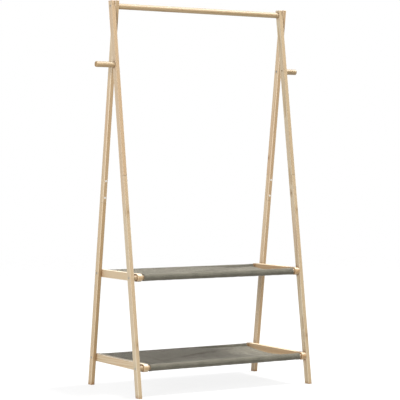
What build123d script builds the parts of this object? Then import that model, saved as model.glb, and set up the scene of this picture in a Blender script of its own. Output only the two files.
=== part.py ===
from build123d import *
import os
from dataclasses import dataclass
from math import atan, cos, degrees, sin, sqrt

# A-frame clothes rack that comes apart: two side frames of crossed legs, a hanging rail at the
# crossing, a coat peg outside each frame, and two fabric shelves slung between dowels.
# Millimetres. +X runs along the rail, +Y to the back, +Z up; the origin is on the floor, mid-rack.
# Turning the rack half a turn about Z gives the same rack: the legs with their feet at the front
# are outside on the left and inside on the right.

# Side frames
rack_height = 1500
foot_spread = 423          # between the leg centre lines at the floor
leg_thickness = 16         # along the rail
leg_depth = 27             # across the leg, in the plane of its frame
leg_edge_radius = 2
leg_top_chamfer = 1

# Half-lap joint between the lower and the upper part of each leg, along the leg's centre line
lap_bottom = 725
lap_top = 830
lap_end_gap = 0.6
lap_screw_inset = 20       # from each end of the lap

# Hanging rail and pegs
rail_length = 737          # between the inner legs
rail_diameter = 22
rail_drop = 21             # rail axis, and the crossing of the legs, below the leg tops
peg_diameter = 22
peg_length = 79
peg_drop = 247             # peg axis below the leg tops
peg_end_radius = 2.5

# Shelves
shelf_heights = {"upper": 446, "lower": 110}     # dowel axes above the floor
dowel_diameter = 20
bearer_thickness = 20      # along the rail
bearer_height = 30
bearer_edge_radius = 2
bearer_bore_clearance = 0.1
fabric_thickness = 1.5
fabric_sags = {"upper": 13, "lower": 18}         # middle of the cloth below its sleeves' tops
fabric_end_gap = 9         # from the end of a sleeve to the bearer
sleeve_clearance = 1
seam_rise = 2              # where the cloth leaves its sleeve, above the dowel axis


@dataclass(frozen=True)
class ScrewSize:
    """A countersunk wood screw with a hexagon socket."""

    shank_diameter: float
    head_diameter: float
    length: float
    socket_across_corners: float

    @property
    def head_depth(self):
        return (self.head_diameter - self.shank_diameter) / 2


lap_screw_end_cover = 5    # wood left beyond the tip, to the outside of the leg
peg_screw_grip = 26        # length inside the peg
rail_screw_grip = 40
dowel_screw_grip = 36
lock_screw_grip = 6
bearer_wall = (bearer_height - dowel_diameter) / 2
lap_screw = ScrewSize(4, 8, leg_depth - lap_screw_end_cover, 3)
peg_screw = ScrewSize(6, 10, leg_thickness + peg_screw_grip, 4)
rail_screw = ScrewSize(5, 10, 2 * leg_thickness + rail_screw_grip, 4)
dowel_screw = ScrewSize(5, 9, leg_thickness + dowel_screw_grip, 4)
lock_screw = ScrewSize(3, 6, bearer_wall + lock_screw_grip, 2.5)
screw_hole_clearance = 0.1
screw_hole_extra_depth = 1
socket_depth_share = 0.6   # of the head's depth
screw_tip_share = 0.25     # blunt end of the tip, of the shank's diameter

# Worked out from the values above
left, right, front, back = -1, 1, -1, 1
rail_axis_height = rack_height - rail_drop
peg_height = rack_height - peg_drop
lean = atan(foot_spread / 2 / rail_axis_height)
lap_screw_heights = (lap_bottom + lap_screw_inset, lap_top - lap_screw_inset)
sleeve_inner_radius = dowel_diameter / 2 + sleeve_clearance
sleeve_outer_radius = sleeve_inner_radius + fabric_thickness
fabric_length = rail_length - 2 * (bearer_thickness + fabric_end_gap)


@dataclass(frozen=True)
class Leg:
    """One leg of a side frame, which leans in from its foot to the crossing."""

    side: int
    foot: int

    @property
    def is_outer(self):
        return self.side == self.foot

    @property
    def name(self):
        frame = "left" if self.side == left else "right"
        return f"{frame}_{'outer' if self.is_outer else 'inner'}_leg"

    @property
    def near_x(self):
        """The face towards the middle of the rack."""
        return self.side * (rail_length / 2 + (leg_thickness if self.is_outer else 0))

    @property
    def far_x(self):
        """The face away from the middle of the rack."""
        return self.near_x + self.side * leg_thickness

    def axis_y(self, height):
        return self.foot * foot_spread / 2 * (1 - height / rail_axis_height)

    def level_cut(self, height, offset):
        """A point of the outline where the leg is cut level, as (y, z)."""
        return (self.axis_y(height) + self.foot * offset / cos(lean), height)

    def square_cut(self, height, offset):
        """A point of the outline where the leg is cut square to its length, as (y, z)."""
        y = self.axis_y(height) + self.foot * offset * cos(lean)
        return (y, height + offset * sin(lean))


legs = [Leg(side, foot) for side in (left, right) for foot in (front, back)]
outer_legs = [leg for leg in legs if leg.is_outer]


# Screw places: each is the plane of the head's flat face, with its normal out of the wood
def lap_screw_planes(leg):
    """Through the tongues, from the leg's face inside the A."""
    normal = (0, -leg.foot * cos(lean), -sin(lean))
    planes = []
    for height in lap_screw_heights:
        y, z = leg.square_cut(height, -leg_depth / 2)
        planes.append(Plane(origin=((leg.near_x + leg.far_x) / 2, y, z), z_dir=normal))
    return planes


def peg_screw_plane(leg):
    """All legs are drilled alike, so the inner legs have this hole too, without a screw."""
    face_x = max(leg.near_x, leg.far_x) if leg.foot == front else min(leg.near_x, leg.far_x)
    return Plane(origin=(face_x, leg.axis_y(peg_height), peg_height), z_dir=(-leg.foot, 0, 0))


def rail_screw_plane(side):
    """Through both crossed legs into the end of the rail."""
    face_x = side * (rail_length / 2 + 2 * leg_thickness)
    return Plane(origin=(face_x, 0, rail_axis_height), z_dir=(side, 0, 0))


def dowel_screw_plane(leg, height):
    """Through one leg into the end of a shelf dowel."""
    return Plane(origin=(leg.far_x, leg.axis_y(height), height), z_dir=(leg.side, 0, 0))


def lock_screw_plane(leg, height):
    """Up through the lower wall of a bearer into the dowel."""
    x = leg.side * (rail_length / 2 - bearer_thickness / 2)
    return Plane(origin=(x, leg.axis_y(height), height - bearer_height / 2), z_dir=(0, 0, -1))


from_top = (Align.CENTER, Align.CENTER, Align.MAX)


def cut_screw_hole(plane, screw):
    radius = screw.shank_diameter / 2 + screw_hole_clearance
    mouth_radius = screw.head_diameter / 2 + screw_hole_clearance
    depth = screw.length + screw_hole_extra_depth
    with Locations(plane.location):
        Cylinder(radius, depth, align=from_top, mode=Mode.SUBTRACT)
        Cone(radius, mouth_radius, screw.head_depth, align=from_top, mode=Mode.SUBTRACT)


def add_screw(plane, screw):
    radius = screw.shank_diameter / 2
    tip_length = screw.shank_diameter
    body_length = screw.length - tip_length
    with Locations(plane.location):
        Cylinder(radius, body_length, align=from_top)
        Cone(radius, screw.head_diameter / 2, screw.head_depth, align=from_top)
    with Locations(plane.offset(-body_length).location):
        Cone(radius * screw_tip_share, radius, tip_length, align=from_top)
    with BuildSketch(plane) as socket:
        RegularPolygon(screw.socket_across_corners / 2, 6)
    extrude(socket.sketch, amount=-screw.head_depth * socket_depth_share, mode=Mode.SUBTRACT)


def save(part, name):
    part.label = name
    export_step(part, f"parts/{name}.step")


def make_leg_part(leg, level):
    half = leg_depth / 2
    if level == "lower":
        outline = [
            leg.level_cut(0, -half),
            leg.level_cut(0, half),
            leg.square_cut(lap_top, half),
            leg.square_cut(lap_top, 0),
            leg.square_cut(lap_bottom, 0),
            leg.square_cut(lap_bottom, -half),
        ]
    else:
        outline = [
            leg.square_cut(lap_bottom + lap_end_gap, -half),
            leg.square_cut(lap_bottom + lap_end_gap, 0),
            leg.square_cut(lap_top + lap_end_gap, 0),
            leg.square_cut(lap_top + lap_end_gap, half),
            leg.level_cut(rack_height, half),
            leg.level_cut(rack_height, -half),
        ]
    leg_axis = Axis((0, leg.axis_y(0), 0), (0, -leg.foot * sin(lean), cos(lean)))
    outward = Vector(0, leg.foot * cos(lean), sin(lean))

    def is_outer_edge(edge):
        # the edges of the lap's step are on the centre line, the others half a depth from it
        return abs((edge.center() - leg_axis.position).dot(outward)) > half / 2

    with BuildPart() as leg_part:
        with BuildSketch(Plane.YZ.offset(min(leg.near_x, leg.far_x))):
            Polygon(*outline, align=None)
        extrude(amount=leg_thickness)
        if level == "upper":
            chamfer(leg_part.faces().sort_by(Axis.Z)[-1].edges(), leg_top_chamfer)
        long_edges = leg_part.edges().filter_by(leg_axis).filter_by(is_outer_edge)
        fillet(long_edges, leg_edge_radius)
        for plane in lap_screw_planes(leg):
            cut_screw_hole(plane, lap_screw)
        if level == "lower":
            for height in shelf_heights.values():
                cut_screw_hole(dowel_screw_plane(leg, height), dowel_screw)
        else:
            cut_screw_hole(peg_screw_plane(leg), peg_screw)
            cut_screw_hole(rail_screw_plane(leg.side), rail_screw)
    save(leg_part.part, f"{leg.name}_{level}")


def make_rail():
    with BuildPart() as top_rail:
        with BuildSketch(Plane.YZ.offset(-rail_length / 2)):
            with Locations((0, rail_axis_height)):
                Circle(rail_diameter / 2)
        extrude(amount=rail_length)
        for side in (left, right):
            cut_screw_hole(rail_screw_plane(side), rail_screw)
    save(top_rail.part, "top_rail")


def make_peg(leg):
    with BuildPart() as peg:
        seat = (leg.far_x, leg.axis_y(peg_height), peg_height)
        with BuildSketch(Plane(origin=seat, z_dir=(leg.side, 0, 0))):
            Circle(peg_diameter / 2)
        extrude(amount=peg_length)
        outer_end = peg.faces().sort_by(Axis.X)[-1 if leg.side == right else 0]
        fillet(outer_end.edges(), peg_end_radius)
        cut_screw_hole(peg_screw_plane(leg), peg_screw)
    save(peg.part, "left_peg" if leg.side == left else "right_peg")


def make_dowel(shelf, foot):
    """From leg to leg, so it reaches past one bearer to the outer leg of that frame."""
    height = shelf_heights[shelf]
    left_leg, right_leg = Leg(left, foot), Leg(right, foot)
    with BuildPart() as dowel:
        with BuildSketch(Plane.YZ.offset(left_leg.near_x)):
            with Locations((left_leg.axis_y(height), height)):
                Circle(dowel_diameter / 2)
        extrude(amount=right_leg.near_x - left_leg.near_x)
        for leg in (left_leg, right_leg):
            cut_screw_hole(dowel_screw_plane(leg, height), dowel_screw)
            cut_screw_hole(lock_screw_plane(leg, height), lock_screw)
    save(dowel.part, f"{shelf}_{'front' if foot == front else 'back'}_dowel")


def make_bearer(shelf, side):
    height = shelf_heights[shelf]
    side_legs = [leg for leg in legs if leg.side == side]
    dowel_places = [(leg.axis_y(height), height) for leg in side_legs]
    dowel_spacing = abs(dowel_places[0][0] - dowel_places[1][0])
    inner_x = side * (rail_length / 2 - bearer_thickness)
    outer_x = side * rail_length / 2
    with BuildPart() as bearer:
        with BuildSketch(Plane.YZ.offset(min(inner_x, outer_x))):
            with Locations((0, height)):
                SlotCenterToCenter(dowel_spacing, bearer_height)
        extrude(amount=bearer_thickness)
        rim_edges = bearer.edges() - bearer.edges().filter_by(Axis.X)
        fillet(rim_edges, bearer_edge_radius)
        with BuildSketch(Plane.YZ.offset(min(inner_x, outer_x))):
            with Locations(*dowel_places):
                Circle(dowel_diameter / 2 + bearer_bore_clearance)
        extrude(amount=bearer_thickness, mode=Mode.SUBTRACT)
        for leg in side_legs:
            cut_screw_hole(lock_screw_plane(leg, height), lock_screw)
    save(bearer.part, f"{shelf}_{'left' if side == left else 'right'}_bearer")


def make_fabric_shelf(shelf):
    """A cloth sling: a sleeve round each dowel, and between them a sheet that is sewn to the
    inner side of each sleeve and sags in one arc."""
    height = shelf_heights[shelf]
    dowel_y = abs(Leg(left, front).axis_y(height))
    sleeve_middle_radius = sleeve_inner_radius + fabric_thickness / 2
    seam_y = dowel_y - sqrt(sleeve_middle_radius**2 - seam_rise**2)
    seam_z = height + seam_rise
    middle_z = height + sleeve_outer_radius - fabric_sags[shelf]
    with BuildPart() as fabric:
        with BuildSketch(Plane.YZ.offset(-fabric_length / 2)):
            with BuildLine():
                top_arc = ThreePointArc((-seam_y, seam_z), (0, middle_z), (seam_y, seam_z))
                under_arc = ThreePointArc(
                    (-seam_y, seam_z - fabric_thickness),
                    (0, middle_z - fabric_thickness),
                    (seam_y, seam_z - fabric_thickness),
                )
                Line(top_arc @ 0, under_arc @ 0)
                Line(top_arc @ 1, under_arc @ 1)
            make_face()
            with Locations((-dowel_y, height), (dowel_y, height)):
                Circle(sleeve_outer_radius)
                Circle(sleeve_inner_radius, mode=Mode.SUBTRACT)
        extrude(amount=fabric_length)
    save(fabric.part, f"{shelf}_fabric_shelf")


def make_screws():
    with BuildPart() as leg_joint_screws:
        for leg in legs:
            for plane in lap_screw_planes(leg):
                add_screw(plane, lap_screw)
    save(leg_joint_screws.part, "leg_joint_screws")

    with BuildPart() as peg_screws:
        for leg in outer_legs:
            add_screw(peg_screw_plane(leg), peg_screw)
    save(peg_screws.part, "peg_screws")

    with BuildPart() as rail_screws:
        for side in (left, right):
            add_screw(rail_screw_plane(side), rail_screw)
    save(rail_screws.part, "rail_screws")

    for shelf, height in shelf_heights.items():
        with BuildPart() as dowel_screws:
            for leg in legs:
                add_screw(dowel_screw_plane(leg, height), dowel_screw)
        save(dowel_screws.part, f"{shelf}_dowel_screws")

        with BuildPart() as bearer_lock_screws:
            for leg in legs:
                add_screw(lock_screw_plane(leg, height), lock_screw)
        save(bearer_lock_screws.part, f"{shelf}_bearer_lock_screws")


os.makedirs("parts", exist_ok=True)
for leg in legs:
    make_leg_part(leg, "lower")
    make_leg_part(leg, "upper")
make_rail()
for leg in outer_legs:
    make_peg(leg)
for shelf in shelf_heights:
    for foot in (front, back):
        make_dowel(shelf, foot)
    for side in (left, right):
        make_bearer(shelf, side)
    make_fabric_shelf(shelf)
make_screws()
print("leg lean", round(degrees(lean), 2), "degrees")
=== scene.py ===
import math

import bmesh
import bpy
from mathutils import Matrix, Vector, noise


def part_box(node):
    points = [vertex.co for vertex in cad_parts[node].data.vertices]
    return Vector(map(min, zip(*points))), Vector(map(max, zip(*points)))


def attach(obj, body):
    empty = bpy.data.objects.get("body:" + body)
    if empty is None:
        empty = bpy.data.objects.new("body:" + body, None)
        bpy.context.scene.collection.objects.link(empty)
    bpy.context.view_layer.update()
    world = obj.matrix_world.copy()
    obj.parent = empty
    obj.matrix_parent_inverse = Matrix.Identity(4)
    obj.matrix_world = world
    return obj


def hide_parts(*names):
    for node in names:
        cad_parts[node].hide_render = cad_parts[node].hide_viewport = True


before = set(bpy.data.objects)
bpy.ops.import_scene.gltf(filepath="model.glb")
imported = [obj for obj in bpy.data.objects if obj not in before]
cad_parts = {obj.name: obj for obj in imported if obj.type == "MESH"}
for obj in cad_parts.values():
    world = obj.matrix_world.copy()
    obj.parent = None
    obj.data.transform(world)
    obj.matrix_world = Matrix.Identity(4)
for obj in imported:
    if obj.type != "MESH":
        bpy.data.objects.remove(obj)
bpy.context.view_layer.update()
scene = bpy.context.scene
print("frame:", len(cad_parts), "parts")


class Value:
    # a shader socket that turns arithmetic into Math nodes
    def __init__(self, graph, socket):
        self.graph = graph
        self.socket = socket

    def maths(self, operation, *others):
        inputs = dict(enumerate((self, *others)))
        return self.graph.add("ShaderNodeMath", {"operation": operation}, inputs)

    def __add__(self, other):
        return self.maths("ADD", other)

    def __sub__(self, other):
        return self.maths("SUBTRACT", other)

    def __rsub__(self, other):
        return self.graph.add("ShaderNodeMath", {"operation": "SUBTRACT"}, {0: other, 1: self})

    def __mul__(self, other):
        return self.maths("MULTIPLY", other)

    def __truediv__(self, other):
        return self.maths("DIVIDE", other)

    def __pow__(self, other):
        return self.maths("POWER", other)

    def __abs__(self):
        return self.maths("ABSOLUTE")

    def between(self, low, high):
        # a smooth step from 0 at low to 1 at high
        inputs = {"Value": self, "From Min": low, "From Max": high}
        return self.graph.add("ShaderNodeMapRange", {"interpolation_type": "SMOOTHSTEP"}, inputs)

    __radd__ = __add__
    __rmul__ = __mul__


class Graph:
    # the nodes of one material or world, ending in one shader
    def __init__(self, name, kind="materials"):
        self.owner = getattr(bpy.data, kind).new(name)
        self.owner.use_nodes = True
        self.tree = self.owner.node_tree
        self.tree.nodes.clear()
        shader, output = endNodes[kind]
        self.shader = self.tree.nodes.new(shader)
        self.tree.links.new(self.shader.outputs[0], self.tree.nodes.new(output).inputs[0])

    def add(self, kind, settings=None, inputs=None, output=0):
        node = self.tree.nodes.new(kind)
        for name, setting in (settings or {}).items():
            setattr(node, name, setting)
        for key, value in (inputs or {}).items():
            self.feed(node.inputs[key], value)
        return Value(self, node.outputs[output])

    def feed(self, socket, value):
        if isinstance(value, Value):
            self.tree.links.new(value.socket, socket)
        elif socket.type == "RGBA" and len(value) == 3:
            socket.default_value = (*value, 1)
        else:
            socket.default_value = value

    def set(self, **inputs):
        for name, value in inputs.items():
            self.feed(self.shader.inputs[socketNames[name]], value)

    def mix(self, factor, first, second, blend="MIX"):
        settings = {"data_type": "RGBA", "blend_type": blend}
        return self.add("ShaderNodeMix", settings, {0: factor, 6: first, 7: second}, 2)

    def dot(self, first, second):
        settings = {"operation": "DOT_PRODUCT"}
        return self.add("ShaderNodeVectorMath", settings, {0: first, 1: second}, "Value")

    def length(self, vector):
        return self.add("ShaderNodeVectorMath", {"operation": "LENGTH"}, {0: vector}, "Value")

    def scaled(self, vector, factor):
        return self.add("ShaderNodeVectorMath", {"operation": "SCALE"}, {0: vector, "Scale": factor})

    def ownPlace(self):
        return self.add("ShaderNodeTexCoord", {}, {}, "Object")

    def point(self, x, y, z):
        return self.add("ShaderNodeCombineXYZ", {}, {0: x, 1: y, 2: z})

    def noise(self, place, detail, roughness=0.5):
        inputs = {"Vector": place, "Scale": 1.0, "Detail": detail, "Roughness": roughness}
        return self.add("ShaderNodeTexNoise", {}, inputs)

    def bump(self, height, strength, distance):
        inputs = {"Height": height, "Strength": strength, "Distance": distance}
        self.set(normal=self.add("ShaderNodeBump", {}, inputs))


endNodes = {
    "materials": ("ShaderNodeBsdfPrincipled", "ShaderNodeOutputMaterial"),
    "worlds": ("ShaderNodeBackground", "ShaderNodeOutputWorld"),
}

socketNames = {
    "colour": "Base Color",
    "roughness": "Roughness",
    "metallic": "Metallic",
    "normal": "Normal",
    "alpha": "Alpha",
    "glow": "Emission Color",
    "glowStrength": "Emission Strength",
    "coat": "Coat Weight",
    "coatRoughness": "Coat Roughness",
    "sheen": "Sheen Weight",
    "sheenRoughness": "Sheen Roughness",
    "sheenTint": "Sheen Tint",
    "specular": "Specular IOR Level",
}


def linkObject(name, data):
    made = bpy.data.objects.new(name, data)
    scene.collection.objects.link(made)
    return made


def meshObject(name, mesh, material):
    mesh.materials.append(material)
    mesh.polygons.foreach_set("use_smooth", [True] * len(mesh.polygons))
    return linkObject(name, mesh)


def newMesh(name, points, faces):
    mesh = bpy.data.meshes.new(name)
    mesh.from_pydata(points, [], faces)
    return mesh


def gridFaces(rows, columns):
    return [
        (row * columns + column, row * columns + column + 1,
         (row + 1) * columns + column + 1, (row + 1) * columns + column)
        for row in range(rows - 1) for column in range(columns - 1)
    ]


def middle(node):
    low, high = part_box(node)
    return (low + high) / 2


wood = {
    "pale": (0.340, 0.280, 0.195),
    "honey": (0.245, 0.166, 0.084),
    "blush": (0.310, 0.212, 0.135),
    "lateWood": (0.178, 0.108, 0.047),
    "knot": (0.105, 0.060, 0.028),
    # pale of rubbed edges, also used as a painted highlight on edges and upward faces
    "edgeWearAndHighlight": (0.600, 0.540, 0.440),
    "ringPitch": 0.0034,
    "heartDistance": 0.055,   # from the piece to the middle of the tree
    "ringLean": 0.004,        # how far the rings shift over each metre of the piece
    "ringWander": 0.016,
    "knotSwirl": 0.0045,      # how far the rings bend round a knot
    # how fine each pattern is, across the grain and along it
    "wanderScale": (14, 1.7),
    "fibreScale": (1500, 22),
    "streakScale": (190, 2.6),
    "patchScale": (9, 3.1),
    "coat": 0.07,
    "specular": 0.28,
    "cornerShade": (0.60, 0.43, 0.29),  # painted shade: what is left of the colour where pieces meet
    # how far the painted shade reaches from a corner
    "cornerShadeReach": 0.026,
}

# how each piece differs from the palette: a tint for the whole piece,
# and how far one pair of its faces leans to honey, partly the grain of that cut and partly painted shade
timber = {
    "left_outer_leg_lower": ((0.99, 1.01, 1.03), 0.50),
    "left_outer_leg_upper": ((0.98, 0.94, 0.93), 0.62),
    "left_inner_leg_lower": ((1.02, 0.98, 0.92), 0.85),
    "left_inner_leg_upper": ((1.03, 1.00, 0.97), 0.70),
    "right_inner_leg_lower": ((1.00, 1.02, 1.03), 0.50),
    "right_inner_leg_upper": ((0.97, 0.98, 0.98), 0.60),
    "right_outer_leg_lower": ((1.14, 1.08, 1.03), 0.60),
    "right_outer_leg_upper": ((1.12, 1.06, 1.02), 0.62),
    "bar": ((0.76, 0.69, 0.57), 0.0),
    "left_bearer": ((1.05, 1.02, 0.98), 0.0),
    # the right bearers are painted darker and more orange: painted shade on their inner faces
    "right_bearer": ((0.98, 0.88, 0.76), 0.0),
}


def woodMaterial(name, centre, along, halfSize, seed, knots=(), timberKind="bar"):
    # centre and along give the piece's own line; halfSize is half its section, or None where it is round
    graph = Graph(name)
    tint, faceHoneyAndShade = timber[timberKind]
    pale, honey, blush, dark, knot, wearAndHighlight = (
        tuple(part * share for part, share in zip(wood[kind], tint))
        for kind in ("pale", "honey", "blush", "lateWood", "knot", "edgeWearAndHighlight")
    )
    side = Vector((1, 0, 0)) if abs(along.x) < 0.5 else Vector((0, 1, 0))
    across = along.cross(side).normalized()
    local = graph.add("ShaderNodeVectorMath", {"operation": "SUBTRACT"}, {0: graph.ownPlace(), 1: centre})
    u, v, w = (graph.dot(local, axis) for axis in (side, across, along))

    acrossScale, alongScale = wood["wanderScale"]
    wander = graph.noise(graph.point(u * acrossScale + seed, v * acrossScale, w * alongScale), 1.0) - 0.5
    heart = wood["heartDistance"]
    goldenAngle = 2.399
    turn = seed * goldenAngle
    fromHeart = ((u + heart * math.cos(turn)) ** 2 + (v + heart * math.sin(turn)) ** 2) ** 0.5
    radius = fromHeart + w * wood["ringLean"] + wander * wood["ringWander"]

    core = halo = None
    for knotPlace, knotRadius in knots:
        offset = graph.point(u - knotPlace[0], v - knotPlace[1], (w - knotPlace[2]) * 0.55)
        distance = graph.length(offset) / knotRadius
        knotCore = 1 - distance.between(0.55, 1.15)
        knotHalo = 1 - distance.between(0.8, 4.2)
        core = knotCore if core is None else core.maths("MAXIMUM", knotCore)
        halo = knotHalo if halo is None else halo.maths("MAXIMUM", knotHalo)
    if knots:
        radius = radius + halo * wood["knotSwirl"]

    ring = (radius / wood["ringPitch"]).maths("FRACT")
    lateWood = ring.between(0.35, 0.96) * (1 - ring.between(0.96, 1.0))
    acrossScale, alongScale = wood["fibreScale"]
    fibres = graph.noise(graph.point(u * acrossScale + seed, v * acrossScale, w * alongScale), 3.0, 0.6)
    acrossScale, alongScale = wood["streakScale"]
    streaks = graph.noise(graph.point(u * acrossScale, v * acrossScale + seed, w * alongScale), 2.0)
    acrossScale, alongScale = wood["patchScale"]
    patches = graph.noise(graph.point(u * acrossScale, v * acrossScale, w * alongScale + seed), 1.0)

    depth = lateWood * 0.42 + (streaks - 0.5) * 0.9 + (fibres - 0.5) * 0.5 + 0.16
    colour = graph.mix(depth.between(0.0, 1.0), pale, honey)
    colour = graph.mix(patches.between(0.45, 0.75) * 0.55, colour, blush)
    colour = graph.mix((lateWood * fibres.between(0.35, 0.7)) * 0.20, colour, dark)
    if knots:
        colour = graph.mix(halo * 0.5, colour, dark)
        colour = graph.mix(core * 0.85, colour, knot)

    normal = graph.add("ShaderNodeNewGeometry", {}, {}, "Normal")
    endGrain = abs(graph.dot(normal, along)).between(0.86, 0.97)
    endColour = graph.mix(lateWood * 0.6, honey, dark)
    colour = graph.mix(endGrain * 0.75, colour, endColour)
    if halfSize:
        flatFace = 1 - abs(graph.dot(normal, side)).between(0.3, 0.8)
        # the faces across the side axis lean to honey: partly the grain of that cut, partly painted shade
        if faceHoneyAndShade:
            colour = graph.mix(flatFace * faceHoneyAndShade, colour, honey)
        else:
            # faces that look up are painted paler: a painted highlight from the lamps above
            colour = graph.mix(graph.dot(normal, (0, 0, 1)).between(0.5, 0.9) * 0.6, colour, wearAndHighlight)
        # the long edges, where two faces meet, are painted pale: partly rubbed wear, partly a painted
        # highlight
        edge = (abs(u) / halfSize[0]).between(0.78, 0.98) * (abs(v) / halfSize[1]).between(0.84, 0.98)
        colour = graph.mix(edge * 0.5, colour, wearAndHighlight)

    # painted shade: warm, darker wood in the corners where pieces meet, where little light reaches
    reach = {"Distance": wood["cornerShadeReach"]}
    openness = graph.add("ShaderNodeAmbientOcclusion", {"samples": 8}, reach, "AO")
    shadedCorners = graph.mix(1.0, colour, wood["cornerShade"], "MULTIPLY")
    colour = graph.mix(openness.between(0.30, 0.95), shadedCorners, colour)

    graph.set(colour=colour, roughness=0.48 + fibres * 0.14 + endGrain * 0.2)
    graph.set(coat=wood["coat"], coatRoughness=0.38, specular=wood["specular"])
    graph.bump(fibres * 0.55 - lateWood * 0.3 + streaks * 0.15, 0.30, 0.0004)
    return graph.owner


# each knot: its place as a share of the leg's length, the side of the leg it shows on, and its radius
knotPlaces = {
    "right_inner_leg": [(0.127, "front", 0.0048), (0.459, "front", 0.0034), (0.505, "near", 0.0030)],
    "left_outer_leg": [(0.131, "front", 0.0042), (0.461, "front", 0.0044), (0.835, "far", 0.0022)],
    "left_inner_leg": [(0.300, "near", 0.0028), (0.655, "back", 0.0030)],
    "right_outer_leg": [(0.215, "back", 0.0030), (0.600, "near", 0.0024)],
}

# how far a knot sits from the middle of its face
knotShift = {"front": 0.002, "back": 0.002, "near": 0.004, "far": 0.004}


# each leg's grain runs along its own line, which comes from the level cuts at its ends
def levelCut(node, top):
    points = [vertex.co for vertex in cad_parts[node].data.vertices]
    level = max(p.z for p in points) if top else min(p.z for p in points)
    reach = 0.0005
    return [p for p in points if abs(p.z - level) < reach]


def meanPoint(points):
    return sum(points, Vector()) / len(points)


def paint(node, material):
    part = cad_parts[node]
    part.data.materials.clear()
    part.data.materials.append(material)


def paintLegs():
    seed = 1.0
    for leg in ("left_outer_leg", "left_inner_leg", "right_inner_leg", "right_outer_leg"):
        footCut = levelCut(leg + "_lower", False)
        foot, head = meanPoint(footCut), meanPoint(levelCut(leg + "_upper", True))
        along = (head - foot).normalized()
        low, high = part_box(leg + "_lower")
        halfThickness = (high.x - low.x) / 2
        levelDepth = max(p.y for p in footCut) - min(p.y for p in footCut)
        halfDepth = levelDepth / 2 * along.z
        side = Vector((1, 0, 0))
        across = along.cross(side).normalized()
        sideDirections = {
            "front": Vector((0, -1, 0)),
            "back": Vector((0, 1, 0)),
            "near": Vector((-1 if foot.x > 0 else 1, 0, 0)),
            "far": Vector((1 if foot.x > 0 else -1, 0, 0)),
        }
        knots = []
        for share, facing, radius in knotPlaces[leg]:
            direction = sideDirections[facing]
            u = direction.dot(side) * halfThickness
            v = direction.dot(across) * halfDepth
            if facing in ("front", "back"):
                u += knotShift[facing]
            else:
                v += knotShift[facing]
            knots.append(((u, v, share * (head - foot).length), radius))
        for part in ("lower", "upper"):
            node = f"{leg}_{part}"
            half = (halfThickness, halfDepth)
            paint(node, woodMaterial(node + "_wood", foot, along, half, seed, knots, node))
            seed += 1.37
    print("legs painted")


def paintBars():
    seed = 20.0
    alongX, alongY = Vector((1, 0, 0)), Vector((0, 1, 0))
    bars = ["top_rail", "left_peg", "right_peg"]
    bars += [f"{shelf}_{side}_dowel" for shelf in ("upper", "lower") for side in ("front", "back")]
    for node in bars:
        paint(node, woodMaterial(node + "_wood", middle(node), alongX, None, seed))
        seed += 2.11
    bearers = [f"{shelf}_{side}_bearer" for shelf in ("upper", "lower") for side in ("left", "right")]
    for node in bearers:
        low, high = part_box(node)
        half = ((high.x - low.x) / 2, (high.z - low.z) / 2)
        kind = node.split("_", 1)[1]
        paint(node, woodMaterial(node + "_wood", middle(node), alongY, half, seed, (), kind))
        seed += 1.73
    print("rail, pegs, dowels and bearers painted")


zinc = {
    "clean": (0.80, 0.78, 0.73),
    "clouded": (0.62, 0.60, 0.55),
    "bright": 1.0,            # the screws of the leg joints
    "dull": 0.42,             # all the others
}


def screwMaterial(name, brightness):
    graph = Graph(name)
    place = graph.ownPlace()
    grain = graph.noise(graph.scaled(place, 1400), 3.0)
    bloom = graph.noise(graph.scaled(place, 240), 2.0)
    tones = (zinc["clean"], zinc["clouded"])
    clean, clouded = (tuple(part * brightness for part in tone) for tone in tones)
    graph.set(colour=graph.mix(bloom, clean, clouded), metallic=1.0)
    graph.set(roughness=0.26 + grain * 0.16 + bloom * 0.08)
    graph.bump(grain, 0.25, 0.0001)
    return graph.owner


def paintScrews():
    bright = screwMaterial("bright_zinc", zinc["bright"])
    dull = screwMaterial("dull_zinc", zinc["dull"])
    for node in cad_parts:
        if node.endswith("screws"):
            paint(node, bright if node == "leg_joint_screws" else dull)
    print("screws painted")


canvas = {
    "threadPitch": 0.00085,
    "shade": (0.038, 0.035, 0.026),
    "light": (0.120, 0.113, 0.087),
    "slub": (0.145, 0.136, 0.105),
    # painted shade between the threads
    "weaveShade": (0.025, 0.022, 0.016),
    "specular": 0.14,
    "sheen": 0.22,
    "sheenTint": (1.0, 0.93, 0.80),
}


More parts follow.
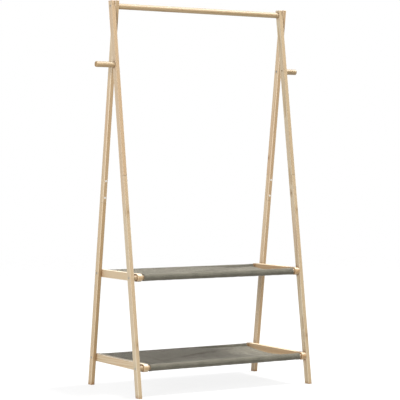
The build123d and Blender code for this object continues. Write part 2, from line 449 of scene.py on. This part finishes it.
def clothMaterial(name):
    # plain weave of heathered threads; the cloth's own lengths come from the mesh
    graph = Graph(name)
    lengths = graph.add("ShaderNodeAttribute", {"attribute_name": "clothPlace"}, {}, "Vector")
    warp, weft = (graph.dot(lengths, axis) / canvas["threadPitch"] for axis in ((1, 0, 0), (0, 1, 0)))
    half = math.pi
    over = (warp * half).maths("SINE") * (weft * half).maths("SINE")
    warpOver = (over * 3.0 + 0.5).between(0.0, 1.0)
    warpRound = abs((weft * half + half / 2).maths("SINE"))
    weftRound = abs((warp * half + half / 2).maths("SINE"))
    height = warpRound * warpOver + weftRound * (1 - warpOver)

    # each thread keeps its tone for about fifty crossings
    warpTone = graph.noise(graph.point(weft, warp * 0.02, 1.7), 1.0)
    weftTone = graph.noise(graph.point(warp, weft * 0.02, 7.3), 1.0)
    threadTone = warpTone * warpOver + weftTone * (1 - warpOver)
    mottle = graph.noise(graph.point(warp * 0.02, weft * 0.02, 3.1), 3.0)
    slubs = graph.noise(graph.point(warp * 0.5, weft * 0.012, 5.5), 2.0)

    tone = threadTone * 0.62 + mottle * 0.25 + slubs * 0.25
    colour = graph.mix(tone.between(0.30, 0.80), canvas["shade"], canvas["light"])
    colour = graph.mix(slubs.between(0.56, 0.74) * 0.35, colour, canvas["slub"])
    # painted shade in the low places of the weave, between the threads
    colour = graph.mix((1 - height) * 0.35, colour, canvas["weaveShade"])
    graph.set(colour=colour, roughness=0.82 + threadTone * 0.15, specular=canvas["specular"])
    graph.set(sheen=canvas["sheen"], sheenRoughness=0.45, sheenTint=canvas["sheenTint"])
    graph.bump(height * 0.8 + threadTone * 0.4, 0.55, 0.00045)
    return graph.owner


stitching = {
    "pitch": 0.0042,
    "length": 0.0031,
    "radius": 0.00028,
    "hemInset": 0.0095,
    "endInset": 0.003,
    "sides": 6,
    "tipWidth": 0.45,         # of the radius
    "arch": 1.1,              # radii that the middle rises
    "sink": 0.6,              # radii that the ends lie under the cloth's face
    "dark": (0.12, 0.110, 0.092),
    "pale": (0.25, 0.235, 0.20),
}


def threadMaterial(name):
    graph = Graph(name)
    place = graph.ownPlace()
    twist = (graph.dot(place, (2400, 1500, 900)) * 2.0).maths("SINE") * 0.5 + 0.5
    fuzz = graph.noise(graph.scaled(place, 900), 2.0)
    graph.set(colour=graph.mix(twist * 0.5 + fuzz * 0.3, stitching["dark"], stitching["pale"]))
    graph.set(roughness=0.72 + fuzz * 0.2, sheen=0.2)
    graph.bump(twist, 0.4, 0.0002)
    return graph.owner


cloth = {
    "thickness": 0.0011,
    "sleeveWidth": 0.0121,    # middle of the cloth to the dowel axis, level
    "sleeveHeight": 0.0122,
    "sleeveDrop": 0.0004,     # a loose sleeve hangs a little below its dowel
    "seamAngle": 10.0,        # degrees above level, where the sheet leaves the inner side of its sleeve
    "backSeamAngle": (58.0, 12.0),  # the back sleeve is pulled round, most at its left end
    "backSeamTurn": (0.02, 0.25),  # between these places along the shelf it goes from one to the other
    "sleeveSteps": 36,
    "tab": 0.009,             # the sleeve's end ply, sewn under the sheet
    "tabGap": 1.15,           # from the sheet to the tab, in thicknesses
    "endGap": 0.009,          # from the cloth to the bearer
    "hemWidth": 0.013,
    "sleeveTop": 0.0125,      # above the dowel axis
    "sag": {"upper": 0.0140, "lower": 0.0185},  # middle of the sheet below the sleeves' tops
    "lowPoint": 1.35,         # above 1, the sheet is lowest behind the middle
    "foldDepth": {"upper": 1.15, "lower": 1.45},
    "foldFade": 0.7,          # how the folds run out towards the seams
    "rippleScale": (30, 22, 9),
    "rippleHeight": 0.0006,
    "columns": 200,
    "webRows": 84,
}

# each fold: its place along the shelf at its bend, the bend's place from the shelf's middle line,
# how fast it bends off, its height and its width
folds = {
    "upper": [
        (0.292, 0.030, 3.4, -0.0012, 0.012), (0.205, 0.010, 2.6, 0.0010, 0.020),
        (0.118, -0.015, 2.2, -0.0012, 0.016), (-0.070, 0.010, -1.6, 0.0008, 0.026),
        (-0.215, 0.020, -2.6, -0.0012, 0.016), (-0.296, 0.000, -3.2, 0.0012, 0.014),
    ],
    "lower": [
        (0.300, 0.060, 3.4, 0.0012, 0.011), (0.268, 0.050, 3.2, -0.0024, 0.013),
        (0.222, 0.015, 2.8, 0.0020, 0.017), (0.177, -0.015, 2.4, -0.0030, 0.013),
        (0.134, -0.010, 2.4, 0.0018, 0.018), (0.088, -0.010, 2.6, -0.0022, 0.014),
        (0.026, -0.020, 2.2, -0.0016, 0.015), (-0.085, 0.010, -1.8, 0.0012, 0.024),
        (-0.170, 0.020, -2.4, -0.0018, 0.015), (-0.232, 0.000, -2.8, 0.0014, 0.018),
        (-0.290, -0.020, -3.3, -0.0020, 0.013),
    ],
}

# a crease that leaves the right back corner and runs inwards; behind it the sheet is pulled up
crease = {
    "start": 0.004,
    "endInset": 0.03,         # from the end of the cloth
    "slope": 0.36,
    "width": 0.008,
    "hold": 0.35,             # share of the way up to the seam
    "calm": 0.6,              # share of the folds' height that it takes away
    "fade": (-0.20, 0.10),    # it appears between these places along the shelf
}

# the loose underside of a sleeve
pucker = {"reach": 0.012, "scale": (42, 40, 60), "height": 0.0007}

settling = {
    "slack": 1.004,           # the sheet is cut this much longer than it hangs
    "pinnedRows": 2,
    "frames": 14,
    "quality": 6,
    "mass": 0.35,
    "stretch": 60,
    "shear": 20,
    "bending": 4,
    "gravity": 0.1,           # share of the full pull, as the sag is already in the sheet
    "airDamping": 2.0,
}


class ClothSection:
    # the round of the cloth at one place along the shelf, as (y, z) points:
    # front sleeve, sheet and back sleeve
    def __init__(self, dowelY, dowelZ, sag, backAngle):
        self.dowelY = dowelY
        self.centreZ = dowelZ - cloth["sleeveDrop"]
        frontAngle = math.radians(cloth["seamAngle"])
        self.frontSeam = self.seam(frontAngle, -1)
        self.backSeam = self.seam(backAngle, 1)
        lowest = dowelZ + cloth["sleeveTop"] - sag
        self.drop = (self.frontSeam.y + self.backSeam.y) / 2 - lowest
        rows = cloth["webRows"]
        ys = [self.frontSeam.x + self.span() * row / (rows - 1) for row in range(rows)]
        self.front = self.sleeve(frontAngle, -1)
        self.sheet = [Vector((y, self.sheetZ(y))) for y in ys]
        self.back = self.sleeve(backAngle, 1)[::-1]

    def seam(self, angle, side):
        level = self.dowelY - cloth["sleeveWidth"] * math.cos(angle)
        return Vector((side * level, self.centreZ + cloth["sleeveHeight"] * math.sin(angle)))

    def span(self):
        return self.backSeam.x - self.frontSeam.x

    def sheetZ(self, y):
        share = (y - self.frontSeam.x) / self.span()
        chord = self.frontSeam.y + (self.backSeam.y - self.frontSeam.y) * share
        hang = share ** cloth["lowPoint"]
        return chord - self.drop * 4 * hang * (1 - hang)

    def sleeve(self, seamAngle, side):
        # the sewn tab under the sheet, then once round the dowel
        tabGap = cloth["thickness"] * cloth["tabGap"]
        startAngle = min(seamAngle, math.radians(cloth["seamAngle"])) - tabGap / cloth["sleeveHeight"]
        inward = self.seam(seamAngle, side).x - side * cloth["tab"]
        tabEnd = Vector((inward, self.sheetZ(inward) - tabGap))
        turn = math.tau - (seamAngle - startAngle)
        steps = cloth["sleeveSteps"]
        around = [self.seam(startAngle - turn * step / steps, side) for step in range(steps)]
        tabShares = (0.0, 0.34, 0.67, 0.92)
        return [tabEnd.lerp(around[0], share) for share in tabShares] + around


def smooth(value, low, high):
    share = max(0.0, min(1.0, (value - low) / (high - low)))
    return share * share * (3 - 2 * share)


def sheetHeight(shelf, point, section, halfLength):
    # soft folds that follow the ends, and a crease from the right back corner
    x, y, z = point
    seamY, seamZ = section.backSeam
    creaseY = seamY - crease["start"] - crease["slope"] * (halfLength - crease["endInset"] - x)
    held = smooth(y, creaseY - crease["width"], creaseY + crease["width"]) * smooth(x, *crease["fade"])
    height = z + (seamZ - z) * crease["hold"] * held
    calm = 1 - crease["calm"] * held
    fromSeams = max(0.0, 1 - (y / seamY) ** 2)
    for foldX, bendY, bend, rise, width in folds[shelf]:
        line = foldX + bend * (y - bendY) ** 2
        ridge = rise * cloth["foldDepth"][shelf] * math.exp(-((x - line) / width) ** 2)
        height += ridge * fromSeams ** cloth["foldFade"] * calm
    ripple = noise.noise(Vector((x, y, seamZ)) * Vector(cloth["rippleScale"]))
    return height + cloth["rippleHeight"] * ripple * fromSeams


def settleWeb(name, grid):
    # cloth simulation of the part between the seams, cut a little longer than the stretch it hangs on
    rows, columns = len(grid), len(grid[0])
    points = [point for row in grid for point in row]
    mesh = newMesh(name, points, gridFaces(rows, columns))
    web = linkObject(name, mesh)
    held = web.vertex_groups.new(name="held")
    pinned = settling["pinnedRows"]
    heldRows = [*range(pinned), *range(rows - pinned, rows)]
    held.add([row * columns + column for row in heldRows for column in range(columns)], 1.0, "REPLACE")
    web.shape_key_add(name="hung")
    cut = web.shape_key_add(name="cut")
    for index, point in enumerate(points):
        cut.data[index].co = (point.x * settling["slack"], point.y, point.z)
    sim = web.modifiers.new("settle", "CLOTH")
    settings = sim.settings
    settings.quality = settling["quality"]
    settings.mass = settling["mass"]
    settings.tension_stiffness = settings.compression_stiffness = settling["stretch"]
    settings.shear_stiffness = settling["shear"]
    settings.bending_stiffness = settling["bending"]
    settings.effector_weights.gravity = settling["gravity"]
    settings.air_damping = settling["airDamping"]
    settings.vertex_group_mass = "held"
    settings.rest_shape_key = cut
    sim.collision_settings.use_collision = False
    sim.collision_settings.use_self_collision = False
    sim.point_cache.frame_start = 1
    sim.point_cache.frame_end = settling["frames"]
    for step in range(1, settling["frames"] + 1):
        scene.frame_set(step)
    settled = web.evaluated_get(bpy.context.evaluated_depsgraph_get()).data
    result = [vertex.co.copy() for vertex in settled.vertices]
    scene.frame_set(1)
    bpy.data.objects.remove(web)
    bpy.data.meshes.remove(mesh)
    return [result[row * columns:(row + 1) * columns] for row in range(rows)]


def sleevePoint(x, section, dowelZ):
    # small puckers where the sleeve is loose under its dowel
    loose = max(0.0, min(1.0, (dowelZ - section.y) / pucker["reach"]))
    point = Vector((x, *section))
    point.z += pucker["height"] * loose * noise.noise(point * Vector(pucker["scale"]))
    return point


def makeSling(shelf, clothSurface, threadSurface):
    frontDowel, backDowel = middle(f"{shelf}_front_dowel"), middle(f"{shelf}_back_dowel")
    dowelY, dowelZ = backDowel.y, frontDowel.z
    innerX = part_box(f"{shelf}_right_bearer")[0].x
    halfLength = innerX - cloth["endGap"]
    columns = cloth["columns"]
    across = [-halfLength + 2 * halfLength * column / (columns - 1) for column in range(columns)]
    leftTurn, rightTurn = (math.radians(angle) for angle in cloth["backSeamAngle"])
    sections = []
    for x in across:
        backAngle = leftTurn + (rightTurn - leftTurn) * smooth(x, *cloth["backSeamTurn"])
        sections.append(ClothSection(dowelY, dowelZ, cloth["sag"][shelf], backAngle))
    webGrid = [
        [Vector((x, *section.sheet[row])) for x, section in zip(across, sections)]
        for row in range(cloth["webRows"])
    ]
    webGrid = settleWeb(f"{shelf}_web", webGrid)
    for row in webGrid:
        for point, section in zip(row, sections):
            point.z = sheetHeight(shelf, point, section, halfLength)

    front, back = (
        [[sleevePoint(x, getattr(section, part)[row], dowelZ) for x, section in zip(across, sections)]
         for row in range(len(sections[0].front))]
        for part in ("front", "back")
    )
    grid = front + webGrid + back

    rowLengths = [0.0]
    middleColumn = columns // 2
    for row in range(1, len(grid)):
        rowLengths.append(rowLengths[-1] + (grid[row][middleColumn] - grid[row - 1][middleColumn]).length)

    points = [point for row in grid for point in row]
    mesh = newMesh(f"{shelf}_sling", points, gridFaces(len(grid), columns))
    sling = meshObject(f"{shelf}_sling", mesh, clothSurface)
    lengths = sling.data.attributes.new("clothPlace", "FLOAT_VECTOR", "POINT")
    places = [(rowLengths[row], x, 0.0) for row in range(len(grid)) for x in across]
    lengths.data.foreach_set("vector", [value for place in places for value in place])

    # the ends are turned under, so the cloth is double there
    hem = sling.vertex_groups.new(name="hem")
    doubled, single = 1.0, 0.5
    for column, x in enumerate(across):
        weight = doubled if halfLength - abs(x) < cloth["hemWidth"] else single
        hem.add([row * columns + column for row in range(len(grid))], weight, "REPLACE")
    body = sling.modifiers.new("body", "SOLIDIFY")
    body.thickness = cloth["thickness"] * 2
    body.vertex_group = "hem"
    body.offset = 0
    body.use_even_offset = True

    firstWeb = len(front)
    seamRows = [firstWeb + 1, firstWeb + len(webGrid) - 2]
    stitches = stitchObject(f"{shelf}_sling_stitching", grid, across, seamRows, halfLength, threadSurface)
    for piece in (sling, stitches):
        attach(piece, "root")
    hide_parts(f"{shelf}_fabric_shelf")
    print(f"{shelf} sling: {rowLengths[-1]:.3f} m round, {2 * halfLength:.3f} m long")


def addStitch(target, start, end, up, radius):
    # a short thread that rises out of the cloth and dips back into it
    along = (end - start).normalized()
    side = along.cross(up).normalized()
    sides, tipWidth = stitching["sides"], stitching["tipWidth"]
    rings = []
    for share in (0.0, 0.2, 0.5, 0.8, 1.0):
        rise = math.sin(math.pi * share)
        width = radius * (tipWidth + (1 - tipWidth) * rise)
        centre = start.lerp(end, share) + up * (radius * (stitching["arch"] * rise - stitching["sink"]))
        rings.append([
            target.verts.new(centre + (side * math.cos(angle) + up * math.sin(angle)) * width)
            for angle in (math.tau * step / sides for step in range(sides))
        ])
    for first, second in zip(rings, rings[1:]):
        for step in range(sides):
            following = (step + 1) % sides
            target.faces.new((first[step], first[following], second[following], second[step]))
    target.faces.new(rings[0][::-1])
    target.faces.new(rings[-1])


def stitchObject(name, grid, across, seamRows, halfLength, material):
    shape = bmesh.new()
    lift = cloth["thickness"] / 2
    pitch, length, radius = stitching["pitch"], stitching["length"], stitching["radius"]
    step = across[1] - across[0]

    def onRow(row, x):
        place = (x - across[0]) / step
        column = min(int(place), len(across) - 2)
        return grid[row][column].lerp(grid[row][column + 1], place - column)

    for row in seamRows:
        reach = halfLength - stitching["endInset"]
        for index in range(int(2 * reach / pitch)):
            x = index * pitch - reach
            start, end = onRow(row, x), onRow(row, x + length)
            up = (end - start).cross(onRow(row + 1, x) - onRow(row - 1, x))
            up = up.normalized() if up.z > 0 else -up.normalized()
            addStitch(shape, start + up * lift, end + up * lift, up, radius)

    for side in (-1, 1):
        x = side * (halfLength - stitching["hemInset"])
        line = [onRow(row, x) for row in range(seamRows[0], seamRows[1])]
        travelled, target = 0.0, 0.0
        for first, second in zip(line, line[1:]):
            stretch = (second - first).length
            while target < travelled + stretch:
                start = first.lerp(second, (target - travelled) / stretch)
                direction = (second - first).normalized()
                up = direction.cross(Vector((1, 0, 0)))
                up = up if up.z > 0 else -up
                rise = up * lift * 2
                addStitch(shape, start + rise, start + direction * length + rise, up, radius)
                target += pitch
            travelled += stretch

    bmesh.ops.recalc_face_normals(shape, faces=shape.faces)
    mesh = bpy.data.meshes.new(name)
    shape.to_mesh(mesh)
    shape.free()
    return meshObject(name, mesh, material)


studio = {
    "wall": (1.0, 1.0, 1.0),
    "ceiling": (0.34, 0.34, 0.35),
    "ceilingStart": (0.30, 0.62),  # height on the unit sphere where wall turns to ceiling
    "floorColour": (0.11, 0.11, 0.11),
    "floorGlow": 0.84,        # a light table, so shadows stay faint
    "floorRadius": 14.0,
    "floorFade": (3.0, 9.0),  # the floor thins out into the wall between these distances
    "lamps": {
        "overhead": {"place": (3.2, -1.0, 6.4), "aim": (0, 0, 0.7), "size": 2.4, "power": 1180},
        "frontLeft": {"place": (-4.5, -3.2, 1.8), "aim": (0, 0, 0.75), "size": 3.0, "power": 400},
    },
}


def floorMaterial(name):
    graph = Graph(name)
    distance = graph.length(graph.ownPlace())
    graph.set(colour=studio["floorColour"], roughness=0.7, specular=0.1)
    graph.set(glow=(1.0, 1.0, 1.0), glowStrength=studio["floorGlow"])
    graph.set(alpha=1 - distance.between(*studio["floorFade"]))
    return graph.owner


def makeFloor():
    segments = 96
    radius = studio["floorRadius"]
    angles = [math.tau * step / segments for step in range(segments)]
    rim = [(radius * math.cos(angle), radius * math.sin(angle), 0) for angle in angles]
    mesh = newMesh("studio_floor", rim, [tuple(range(segments))])
    floor = meshObject("studio_floor", mesh, floorMaterial("pale_floor"))


def makeLights():
    room = Graph("studio_room", "worlds")
    direction = room.add("ShaderNodeTexCoord", {}, {}, "Generated")
    height = room.dot(direction, (0, 0, 1)).between(*studio["ceilingStart"])
    room.feed(room.shader.inputs["Color"], room.mix(height, studio["wall"], studio["ceiling"]))
    scene.world = room.owner
    for name, lamp in studio["lamps"].items():
        data = bpy.data.lights.new(name, "AREA")
        data.shape = "DISK"
        data.size = lamp["size"]
        data.energy = lamp["power"]
        light = linkObject(name, data)
        light.location = lamp["place"]
        aim = Vector(lamp["aim"]) - Vector(lamp["place"])
        light.rotation_euler = aim.to_track_quat("-Z", "Y").to_euler()


view = {
    "position": (-3.169, -5.2865, 0.8814),
    "heading": 30.94,        # degrees from straight ahead, to the right
    "tilt": 1.39,            # degrees down
    "lens": 139.9,
    "sensorWidth": 36,
}


def makeCamera():
    data = bpy.data.cameras.new("camera")
    data.lens = view["lens"]
    data.sensor_width = view["sensorWidth"]
    camera = linkObject("camera", data)
    camera.location = view["position"]
    camera.rotation_euler = (math.radians(90 - view["tilt"]), 0, -math.radians(view["heading"]))
    scene.camera = camera


scene.view_settings.view_transform = "Standard"
makeCamera()
makeLights()
makeFloor()
print("studio ready")
paintLegs()
paintBars()
paintScrews()
clothSurface, threadSurface = clothMaterial("grey_canvas"), threadMaterial("grey_thread")
for shelf in ("upper", "lower"):
    makeSling(shelf, clothSurface, threadSurface)
